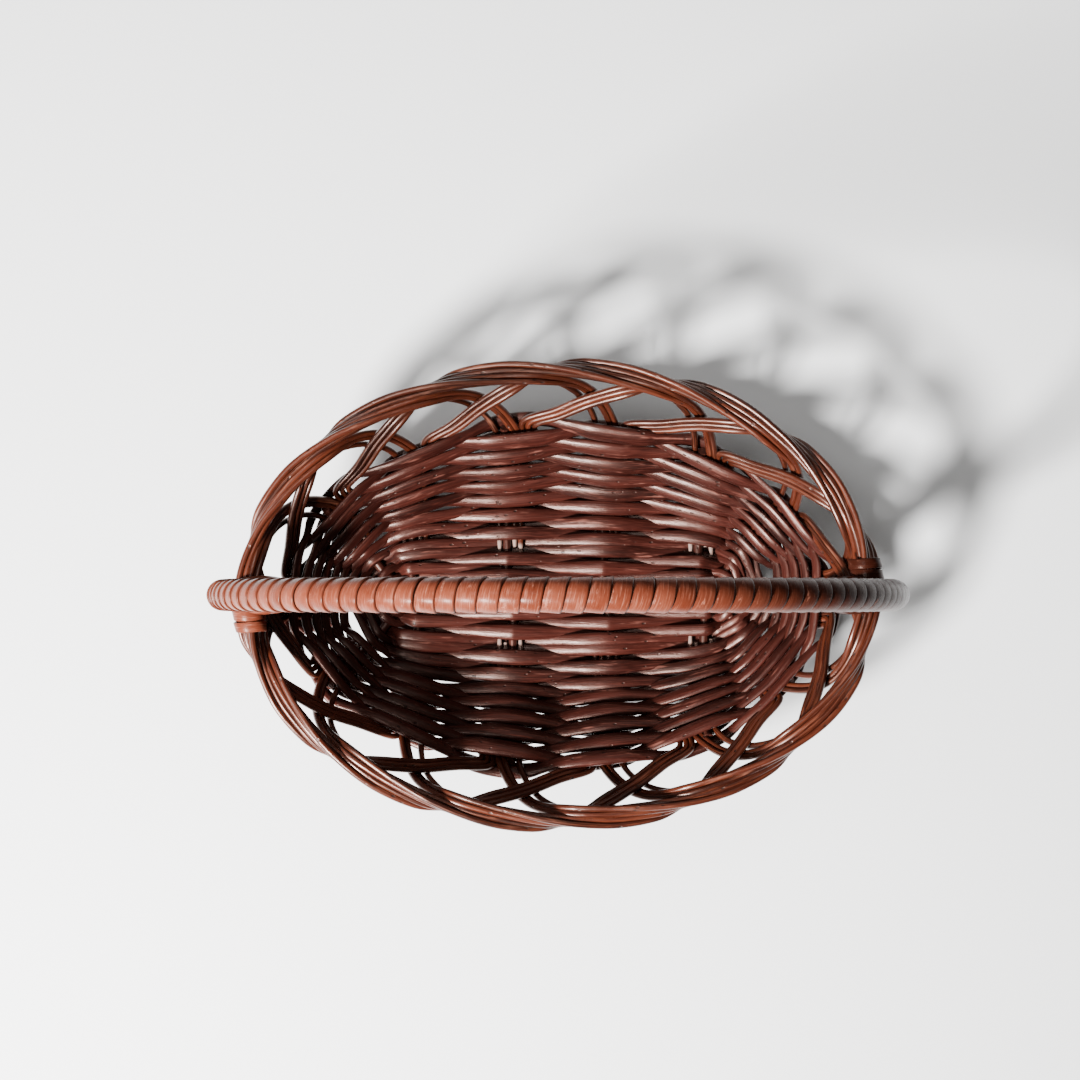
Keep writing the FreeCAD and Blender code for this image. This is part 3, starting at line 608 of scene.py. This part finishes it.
def rowStops(row, chance):
    # each group that the row passes: a middle, half the width beside it, and the rod's radius
    stops = []
    for number, post in enumerate(posts):
        pitch = rowTravel(post, row + 0.5) - rowTravel(post, row - 0.5)
        travel = rowTravel(post, row) + chance.uniform(-1, 1) * weaving["unevenness"]
        low, high = groupSpan(number, travel)
        leg = number in tipPosts and travel > post.total - handle["tailLength"]
        thick = handle["tailDiameter"] if leg else basket["baseRod"]
        radius = pitch * weaving["thickness"] * chance.uniform(0.93, 1.06)
        flat = weaving["body"]["Flatness"]
        offset = weaverSide(number, row) * (thick / 2 + radius * flat) * weaving["bite"]
        stops.append((post.at(travel, (low + high) / 2, offset), (high - low) / 2, radius,
                      post.frame(travel)[3]))
    return stops


def weaverRods(row):
    chance = random.Random(weaving["seed"] + row)
    stops = rowStops(row, chance)
    behind = [number for number in range(postCount) if weaverSide(number, row) < 0
              and number not in tipPosts]
    share = postCount // weaving["rodsPerRow"]
    first = behind[(row * 3) % len(behind)]
    starts = [first]
    for order in range(1, weaving["rodsPerRow"]):
        wanted = (first + order * share) % postCount
        starts.append(min(behind, key=lambda number: min((number - wanted) % postCount,
                                                         (wanted - number) % postCount)))
    rods = []
    for order, start in enumerate(starts):
        stop = starts[(order + 1) % len(starts)]
        count = (stop - start) % postCount or postCount
        points, radii, faces = [], [], []
        lift = up * 0.0008 * (1 if order % 2 else -1)
        for step in range(count + 1):
            number = (start + step) % postCount
            middle, half, radius, face = stops[number]
            before, after = stops[number - 1][0], stops[(number + 1) % postCount][0]
            along = (after - before).normalized()
            taper = 1.08 - 0.24 * step / count
            spots = [middle - along * half, middle + along * half]
            if step == 0:
                spots = [middle - along * 0.004 + lift, spots[1]]
            elif step == count:
                spots = [spots[0], middle + along * 0.003 + lift]
            if points:
                points.append((points[-1] + spots[0]) / 2)
                radii.append((radii[-1] + radius * taper) / 2 * weaving["pinch"])
                faces.append((faces[-1] + face).normalized())
            points += spots
            radii += [radius * taper, radius * taper]
            faces += [face, face]
        radii[0] *= 0.55
        radii[-1] *= 0.3
        rods.append({"points": points, "radii": radii, "faces": faces, "tone": chance.random()})
    return rods


for row in range(weaving["rows"]):
    label = f"weaver_row_{row + 1:02d}"
    wirePiece(label + "_willow", weaverRods(row), ovalRods, weaving["body"], weaverFinish,
              "weavers", label)
print("weaver rows ready")


# base rods: four across and three along, bent up into the wall
baseRods = {
    "radius": 0.00225, "step": 0.009, "seed": 23, "topSpare": 0.0015,
    "body": {"Spacing": 0.0015, "Wander": 0.0003, "Wander Scale": 24.0, "Swelling": 0.07,
             "Sides": 14, "Seed": 31},
}


def wallRun(post, place, low):
    # points from just under the wall's top down and in to a distance from the spine
    top = post.total - baseRods["topSpare"]
    count = max(2, round((top - low) / baseRods["step"]))
    return [post.at(top + (low - top) * step / count, place) for step in range(count + 1)]


def tapered(points, radius, chance):
    return {"points": points, "radii": [radius * chance.uniform(0.96, 1.04) for _ in points],
            "tone": chance.random()}


chance = random.Random(baseRods["seed"])
for order, number in enumerate((5, 4, 3, 2), 1):
    upper, lower = posts[number], posts[postCount - number]
    upPlace, lowPlace = rodPlaces(upper.number)[0], rodPlaces(lower.number)[0]
    points = wallRun(upper, upPlace, weaving["firstRow"])
    points += wallRun(lower, lowPlace, weaving["firstRow"])[::-1]
    label = f"base_rod_short_{order}"
    wirePiece(label + "_willow", [tapered(points, baseRods["radius"], chance)], roundRods,
              baseRods["body"], baseFinish, "base_rods", label)
lowZ = basket["weaveHeight"] - basket["baseRod"] - basket["rodGap"]
spread = basket["baseRod"] + basket["rodGap"]
outerRod = (halfRound / 2 - 2) * basket["shortRodSpacing"]
for order, (right, left) in enumerate(((1, 6), (0, 7), (13, 8)), 1):
    points = []
    for number in (right, left):
        post = posts[number]
        across = 0 if number in tipPosts else math.copysign(spread, post.top.y)
        half = wallRun(post, rodPlaces(number)[0], weaving["firstRow"] + 0.007)
        half.append(post.at(weaving["firstRow"] - 0.001, 0))
        half.append(Vector((math.copysign(outerRod + 0.003, post.top.x), across, lowZ)))
        points = half if not points else points + half[::-1]
    label = f"base_rod_long_{order}"
    wirePiece(label + "_willow", [tapered(points, baseRods["radius"], chance)], roundRods,
              baseRods["body"], baseFinish, "base_rods", label)
print("base rods ready")


# side stakes: up the wall, over to the rim's rope as a strand, and down again into the weave
strandRoute = {
    "rising": ((0.13, 0.30, 0.0019), (0.33, 0.68, 0.0012)),
    "onRope": ((0.62, 160, 1.0), (1.00, 128, 1.0), (1.45, 84, 1.0), (1.90, 38, 1.0),
               (2.28, -5, 1.0), (2.50, -50, 1.0), (2.69, -100, 1.2)),
    "falling": ((2.92, 0.78, -0.0019), (3.22, 0.50, -0.0019), (3.50, 0.22, -0.0015)),
    "risingOrder": (-1, 0, 1), "fallingOrder": (0, -1, 1),
    "triangle": ((-0.5, -0.866), (1.0, 0.0), (-0.5, 0.866)),
    "settling": 1.3, "longestMitre": 0.7,
}


def latticeOutside(share):
    normal = ovalNormal(rimOval, share)
    climb = (ovalPoint(rimOval, share) - ovalPoint(wallOval, share)
             + up * (basket["rimHeight"] - basket["wallHeight"])).normalized()
    return (normal - climb * normal.dot(climb)).normalized()


def latticePoint(share, rise, outward):
    low = ovalPoint(wallOval, share) + up * basket["wallHeight"]
    high = ovalPoint(rimOval, share) + up * basket["rimHeight"]
    return low.lerp(high, rise) + latticeOutside(share) * outward


def ropeRadial(share, angle):
    turn = math.radians(angle)      # 0 outside, 90 on top, 180 inside
    return ovalNormal(rimOval, share) * math.cos(turn) + up * math.sin(turn)


def ropePoint(share, angle, radius):
    centre = ovalPoint(rimOval, share) + up * basket["rimHeight"]
    return centre + ropeRadial(share, angle) * radius


def strandMiddle(number):
    post, nextPost = posts[number], posts[(number + 4) % postCount]
    tuck = groupSpan(number + 4, nextPost.total)[0] + 1.5 * stakeStep
    middle = []
    for steps, rise, out in strandRoute["rising"]:
        share = (number + steps) / postCount
        middle.append((latticePoint(share, rise, out), "rising", share, rise))
    for steps, angle, far in strandRoute["onRope"]:
        share = (number + steps) / postCount
        middle.append((ropePoint(share, angle, basket["ropePitch"] * far), "rope", share, angle))
    for steps, rise, out in strandRoute["falling"]:
        share = (number + steps) / postCount
        middle.append((latticePoint(share, rise, out), "falling", share, rise))
    middle.append((nextPost.at(nextPost.total, tuck), "tuck", 0, 0))
    middle.append((nextPost.at(nextPost.total - stakes["tuckDepth"], tuck), "tuck", 0, 0))
    return middle


def facing(direction, way):
    return direction if direction.dot(way) > 0 else -direction


def memberOffset(number, member, kind, share, detail, ahead):
    if kind == "rope":
        radial = ropeRadial(share, detail)
        radial = (radial - ahead * radial.dot(ahead)).normalized()
        around = facing(ahead.cross(radial).normalized(), ropeRadial(share, detail + 90))
        along, square = strandRoute["triangle"][member]
        return (radial * along + around * square) * (stakeStep / math.sqrt(3))
    if kind == "tuck":
        post = posts[(number + 4) % postCount]
        _, _, sideways, inward = post.frame(post.total)
        across = facing(inward.cross(ahead).normalized(), sideways)
    else:
        way = posts[number].wallSide if kind == "rising" else up
        across = facing(latticeOutside(share).cross(ahead).normalized(), way)
    if kind in ("falling", "tuck"):
        return across * strandRoute["fallingOrder"][member] * stakeStep
    settled = min(1, detail * strandRoute["settling"])
    place = rodPlaces(number)[1][member]
    close = strandRoute["risingOrder"][member] * stakeStep
    return across * (place * (1 - settled) + close * settled)


def strandPoints(number, member):
    post = posts[number]
    place = rodPlaces(number)[1][member]
    entry = stakes["entry"][number in fanPosts] + stakes["stagger"][member]
    reach = post.total - stakes["leanFrom"] - entry
    count = round(reach / 0.009)
    points = [post.at(entry + reach * step / count, place) for step in range(count + 1)]
    middle = strandMiddle(number)
    spots = [post.at(post.total)] + [spot for spot, _, _, _ in middle]
    for order, (spot, kind, share, detail) in enumerate(middle, 1):
        into = (spot - spots[order - 1]).normalized()
        outOf = (spots[order + 1] - spot).normalized() if order < len(middle) else into
        ahead = (into + outOf).normalized()
        mitre = 1 / max(ahead.dot(into), strandRoute["longestMitre"])
        points.append(spot + memberOffset(number, member, kind, share, detail, ahead) * mitre)
    return points


for number in range(postCount):
    chance = random.Random(stakes["seed"] * 100 + number)
    rods = []
    for member in range(3):
        points = strandPoints(number, member)
        size = stakes["radius"] * chance.uniform(0.95, 1.07)
        radii = [size * (1.02 - 0.08 * place / len(points)) for place in range(len(points))]
        radii[0] *= 0.55
        rods.append({"points": points, "radii": radii, "tone": chance.random()})
    label = f"side_stakes_{number + 1:02d}"
    wirePiece(label + "_willow", rods, roundRods, stakes["body"], stakeFinish, "stakes", label)
print("side stakes and border ready")


# the foot: a rod ring, planed flat where it stands
foot = {
    "diameter": 0.0064, "inset": 0.003,
    "body": {"Spacing": 0.0015, "Wander": 0.0002, "Wander Scale": 20.0, "Swelling": 0.04,
             "Sides": 18, "Seed": 41},
}
footZ = (basket["weaveHeight"] - basket["baseRod"] / 2 - 2 * basket["rodGap"]
         - weaving["diameter"] - foot["diameter"] / 2)
ring = []
for post in posts:
    spot = post.at(post.flat - foot["inset"])
    ring.append(Vector((spot.x, spot.y, footZ)))
ring += [ring[0].lerp(ring[1], 0.3)]
radii = [foot["diameter"] / 2] * len(ring)
footPiece = wirePiece("foot_ring_willow", [{"points": ring, "radii": radii, "tone": 0.4}],
                      roundRods, foot["body"], baseFinish, "foot", "foot_ring")
for vertex in footPiece.data.vertices:
    vertex.co.z = max(vertex.co.z, 0)
print("foot ready")


# the handle's cane: one strip wound round the bow, and the lashings at the rim
caneWrap = {
    "body": {"Spacing": 0.0002, "Pitch": 0.0076, "Radius": 0.00585, "Width": 0.0080,
             "Thickness": 0.0011, "Overlap": 0.085, "Unevenness": 0.09, "Seed": 7},
    "archStep": 5,
}
sleeveRadius = handle["coreDiameter"] / 2 + handle["wrapClearance"] + handle["wrapThickness"]
legX = rimOval[0] - ropeRadius - handle["rimClearance"] - sleeveRadius


def legSpot(height):
    swellZ = basket["rimHeight"] - handle["swellDrop"]
    share = (height - swellZ) / (handle["springHeight"] - swellZ) / handle["swellEnd"]
    share = min(max(share, 0), 1)
    swell = (handle["reach"] - legX) * share * share * (3 - 2 * share)
    return Vector((legX + swell, 0, height))


def handlePath():
    start = basket["wallHeight"] + handle["startOverWall"]
    count = 9
    leg = [legSpot(start + (handle["springHeight"] - start) * step / count)
           for step in range(count)]
    arch = []
    for angle in range(0, 181, caneWrap["archStep"]):
        turn = math.radians(angle)
        arch.append(Vector((handle["reach"] * math.cos(turn), 0,
                            handle["springHeight"] + handle["reach"] * math.sin(turn))))
    other = [Vector((-spot.x, 0, spot.z)) for spot in leg[::-1]]
    return leg + arch + other


path = handlePath()
sideFace = Vector((0, 1, 0))
wirePiece("handle_wrap_cane", [{"points": path, "tone": 0.5, "faces": [sideFace] * len(path)}],
          winding, caneWrap["body"], caneFinish, "handle_cane", "handle_wrap")

lashing = {
    "rimWinding": {"Spacing": 0.0002, "Pitch": 0.0050, "Radius": 0.0071, "Width": 0.0048,
                   "Thickness": 0.0009, "Overlap": 0.12, "Unevenness": 0.12, "Seed": 19},
    "strap": {"Spacing": 0.0008, "Wander": 0.0003, "Wander Scale": 60.0, "Swelling": 0.06,
              "Thickness": 0.0009, "Width": 0.0046, "Seed": 29},
    "rimFrom": 0.0085, "rimTo": 0.0160, "strapTurns": 2, "strapLift": 0.0008,
}


def strapLoops(side):
    # the strip goes round the leg and the rim's rope together, crossing over the rope
    points, faces = [], []
    leg, rope = Vector((legX, 0, 0)), Vector((rimOval[0], 0, basket["rimHeight"]))
    reachLeg, reachRope = sleeveRadius + lashing["strapLift"], ropeRadius + lashing["strapLift"]
    for turn in range(lashing["strapTurns"]):
        way = -1 if turn % 2 else 1
        low = basket["rimHeight"] + 0.001 + 0.0025 * turn
        stops = [(leg, Vector((-1, 0, 0)), low), (leg, Vector((-0.3, way, 0)), low + 0.002),
                 (rope, Vector((-0.35, 0, 1)), way * 0.0060),
                 (rope, Vector((0.6, 0, 0.8)), way * 0.0035),
                 (rope, Vector((1, 0, -0.1)), 0.0),
                 (rope, Vector((0.6, 0, -0.8)), -way * 0.0035),
                 (rope, Vector((-0.35, 0, -1)), -way * 0.0060),
                 (leg, Vector((-0.3, -way, 0)), low - 0.004)]
        for centre, face, detail in stops:
            face = face.normalized()
            if centre is leg:
                spot = Vector((centre.x, 0, detail)) + face * reachLeg
            else:
                spot = rope + Vector((0, detail, 0)) + face * reachRope
            points.append(Vector((side * spot.x, spot.y, spot.z)))
            faces.append(Vector((side * face.x, face.y, face.z)))
    points.append(points[0] + up * 0.001)
    faces.append(faces[0])
    return {"points": points, "faces": faces, "tone": 0.5}


ovalLength = 2 * math.pi * math.sqrt((rimOval[0] ** 2 + rimOval[1] ** 2) / 2)
for label, side, baseShare in (("handle_lashing_right", 1, 0.0), ("handle_lashing_left", -1, 0.5)):
    spots, faces = [], []
    for step in range(5):
        reach = lashing["rimFrom"] + (lashing["rimTo"] - lashing["rimFrom"]) * step / 4
        share = baseShare + reach / ovalLength
        spots.append(ovalPoint(rimOval, share) + up * basket["rimHeight"])
        faces.append(up)
    wirePiece(label + "_rim", [{"points": spots, "faces": faces, "tone": 0.3}], winding,
              lashing["rimWinding"], caneFinish, "lashing_cane", label)
    wirePiece(label + "_strap", [strapLoops(side)], flatStrips, lashing["strap"], caneFinish,
              "lashing_cane", label)
print("handle cane ready")

for label, finish in (("handle_core", bowFinish), ("handle_nails", nailFinish)):
    for slot in bpy.data.objects[label].material_slots:
        slot.material = finish


# floor, light and camera
studio = {
    "floorSize": 4.0, "floorColour": (0.62, 0.617, 0.613), "worldStrength": 0.09,
    "cameraHeight": 0.858, "lens": 56.2, "shift": (-0.0167, 0.0509),
    "lights": (("keyLight", (-0.62, -0.60, 0.92), 0.26, 125.0),
               ("fillLight", (0.15, 1.0, 0.7), 0.9, 2.0),
               ("topLight", (-0.45, 0.35, 1.5), 0.5, 9.0)),
}
half = studio["floorSize"] / 2
floorMesh = bpy.data.meshes.new("floor")
floorMesh.from_pydata([(-half, -half, 0), (half, -half, 0), (half, half, 0), (-half, half, 0)],
                      [], [(0, 1, 2, 3)])
floor = bpy.data.objects.new("floor", floorMesh)
floor.location.z = -0.0003
bpy.context.scene.collection.objects.link(floor)
floorMaterial, _, floorShader = newMaterial("floorPaper")
floorShader.inputs["Base Color"].default_value = (*studio["floorColour"], 1)
floorShader.inputs["Roughness"].default_value = 0.85
floorMesh.materials.append(floorMaterial)
world = bpy.data.worlds.new("softRoom")
world.use_nodes = True
world.node_tree.nodes["Background"].inputs["Color"].default_value = (1, 0.99, 0.98, 1)
world.node_tree.nodes["Background"].inputs["Strength"].default_value = studio["worldStrength"]
bpy.context.scene.world = world
for label, place, width, power in studio["lights"]:
    light = bpy.data.lights.new(label, "AREA")
    light.shape, light.size, light.energy = "DISK", width, power
    lamp = bpy.data.objects.new(label, light)
    lamp.location = place
    lamp.rotation_euler = (-Vector(place)).to_track_quat("-Z", "Y").to_euler()
    bpy.context.scene.collection.objects.link(lamp)
cameraData = bpy.data.cameras.new("camera")
cameraData.lens = studio["lens"]
cameraData.sensor_width = 36.0
cameraData.shift_x, cameraData.shift_y = studio["shift"]
camera = bpy.data.objects.new("camera", cameraData)
camera.location = (0, 0, studio["cameraHeight"])
bpy.context.scene.collection.objects.link(camera)
bpy.context.scene.camera = camera
print("studio ready")

bpy.context.view_layer.update()
